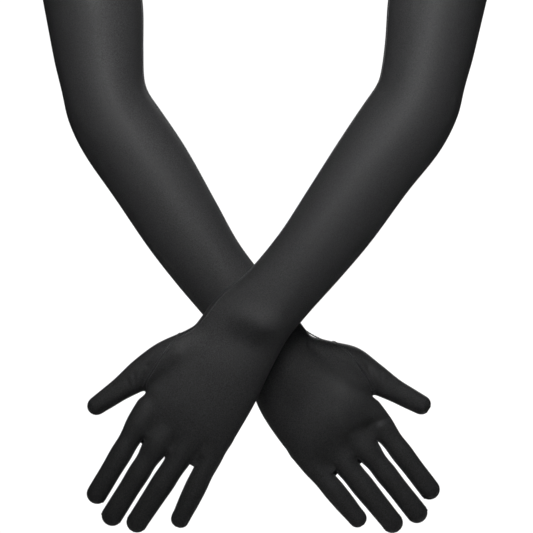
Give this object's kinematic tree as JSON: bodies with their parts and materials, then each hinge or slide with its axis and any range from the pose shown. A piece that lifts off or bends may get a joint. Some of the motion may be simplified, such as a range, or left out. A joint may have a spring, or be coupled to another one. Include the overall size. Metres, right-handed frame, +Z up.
{
  "type": "opera gloves",
  "caption": "Long satin opera gloves with set-in thumbs and finger gussets, filled as if worn, crossed at the wrists with the fingers down.",
  "frame": {"origin": "midway between the middles of the two arm openings", "axes": "+Z up the arms, +X from the wearer's right hand side to the left glove's elbow, -Y the side that the backs of the hands face"},
  "size_m": [0.3747, 0.141, 0.4946],
  "materials": {
    "satin": "black stretch satin, soft sheen",
    "fourchette_satin": "black stretch satin, soft sheen",
    "hem_elastic": "woven elastic, matt"
  },
  "bodies": {
    "right_cuff": {"right_upper_sleeve": "satin", "right_hem_elastic": "hem_elastic", "right_elbow": "satin"},
    "right_forearm": {"right_forearm_sleeve": "satin", "right_wrist": "satin"},
    "right_hand": {"right_palm_and_back": "satin", "right_thumb_foot": "satin", "right_fourchette_1": "fourchette_satin", "right_fourchette_2": "fourchette_satin", "right_fourchette_3": "fourchette_satin", "right_thumb_knuckle": "satin", "right_index_knuckle": "satin", "right_middle_knuckle": "satin", "right_ring_knuckle": "satin", "right_little_knuckle": "satin"},
    "right_thumb": {"right_thumb_tip": "satin"},
    "right_index": {"right_index_tip": "satin"},
    "right_middle": {"right_middle_tip": "satin"},
    "right_ring": {"right_ring_tip": "satin"},
    "right_little": {"right_little_tip": "satin"},
    "left_cuff": {"left_upper_sleeve": "satin", "left_hem_elastic": "hem_elastic", "left_elbow": "satin"},
    "left_forearm": {"left_forearm_sleeve": "satin", "left_wrist": "satin"},
    "left_hand": {"left_palm_and_back": "satin", "left_thumb_foot": "satin", "left_fourchette_1": "fourchette_satin", "left_fourchette_2": "fourchette_satin", "left_fourchette_3": "fourchette_satin", "left_thumb_knuckle": "satin", "left_index_knuckle": "satin", "left_middle_knuckle": "satin", "left_ring_knuckle": "satin", "left_little_knuckle": "satin"},
    "left_thumb": {"left_thumb_tip": "satin"},
    "left_index": {"left_index_tip": "satin"},
    "left_middle": {"left_middle_tip": "satin"},
    "left_ring": {"left_ring_tip": "satin"},
    "left_little": {"left_little_tip": "satin"}
  },
  "joints": [
    {"name": "gloves_apart", "type": "slide", "parent": "right_cuff", "child": "left_cuff", "axis": [0, -1, 0], "range_m": [0, 0.12]},
    {"name": "right_elbow_bend", "type": "hinge", "parent": "right_cuff", "child": "right_forearm", "pos_m": [-0.12391, 0.03, -0.15216], "axis": [0, -1, 0], "range_deg": [-25, 45], "deforming": ["right_elbow"]},
    {"name": "right_wrist_bend", "type": "hinge", "parent": "right_forearm", "child": "right_hand", "pos_m": [-0.00247, 0.03, -0.33019], "axis": [0.7955, 0, 0.6059], "range_deg": [-10, 60], "deforming": ["right_wrist"]},
    {"name": "right_thumb_bend", "type": "hinge", "parent": "right_hand", "child": "right_thumb", "pos_m": [0.09968, 0.03539, -0.37536], "axis": [0.5045, 0, 0.8634], "range_deg": [0, 50], "deforming": ["right_thumb_knuckle"]},
    {"name": "right_index_bend", "type": "hinge", "parent": "right_hand", "child": "right_index", "pos_m": [0.1058, 0.0309, -0.42423], "axis": [0.7997, 0, 0.6004], "range_deg": [0, 75], "deforming": ["right_index_knuckle"]},
    {"name": "right_middle_bend", "type": "hinge", "parent": "right_hand", "child": "right_middle", "pos_m": [0.09342, 0.03068, -0.43959], "axis": [0.7782, 0, 0.628], "range_deg": [0, 75], "deforming": ["right_middle_knuckle"]},
    {"name": "right_ring_bend", "type": "hinge", "parent": "right_hand", "child": "right_ring", "pos_m": [0.07553, 0.03081, -0.44906], "axis": [0.766, 0, 0.6428], "range_deg": [0, 75], "deforming": ["right_ring_knuckle"]},
    {"name": "right_little_bend", "type": "hinge", "parent": "right_hand", "child": "right_little", "pos_m": [0.05252, 0.03107, -0.45366], "axis": [0.7712, 0, 0.6366], "range_deg": [0, 75], "deforming": ["right_little_knuckle"]},
    {"name": "left_elbow_bend", "type": "hinge", "parent": "left_cuff", "child": "left_forearm", "pos_m": [0.11736, -0.03, -0.14799], "axis": [0, 1, 0], "range_deg": [-25, 45], "deforming": ["left_elbow"]},
    {"name": "left_wrist_bend", "type": "hinge", "parent": "left_forearm", "child": "left_hand", "pos_m": [-0.00992, -0.03, -0.32189], "axis": [0.8004, 0, -0.5995], "range_deg": [-60, 10], "deforming": ["left_wrist"]},
    {"name": "left_thumb_bend", "type": "hinge", "parent": "left_hand", "child": "left_thumb", "pos_m": [-0.11292, -0.02461, -0.37349], "axis": [0.5368, 0, -0.8437], "range_deg": [0, 50], "deforming": ["left_thumb_knuckle"]},
    {"name": "left_index_bend", "type": "hinge", "parent": "left_hand", "child": "left_index", "pos_m": [-0.11304, -0.0291, -0.42401], "axis": [0.8634, 0, -0.5045], "range_deg": [0, 75], "deforming": ["left_index_knuckle"]},
    {"name": "left_middle_bend", "type": "hinge", "parent": "left_hand", "child": "left_middle", "pos_m": [-0.09904, -0.02932, -0.43784], "axis": [0.8443, 0, -0.5358], "range_deg": [0, 75], "deforming": ["left_middle_knuckle"]},
    {"name": "left_ring_bend", "type": "hinge", "parent": "left_hand", "child": "left_ring", "pos_m": [-0.08034, -0.02919, -0.44513], "axis": [0.83, 0, -0.5577], "range_deg": [0, 75], "deforming": ["left_ring_knuckle"]},
    {"name": "left_little_bend", "type": "hinge", "parent": "left_hand", "child": "left_little", "pos_m": [-0.05364, -0.02893, -0.44895], "axis": [0.9029, 0, -0.4299], "range_deg": [0, 75], "deforming": ["left_little_knuckle"]}
  ]
}
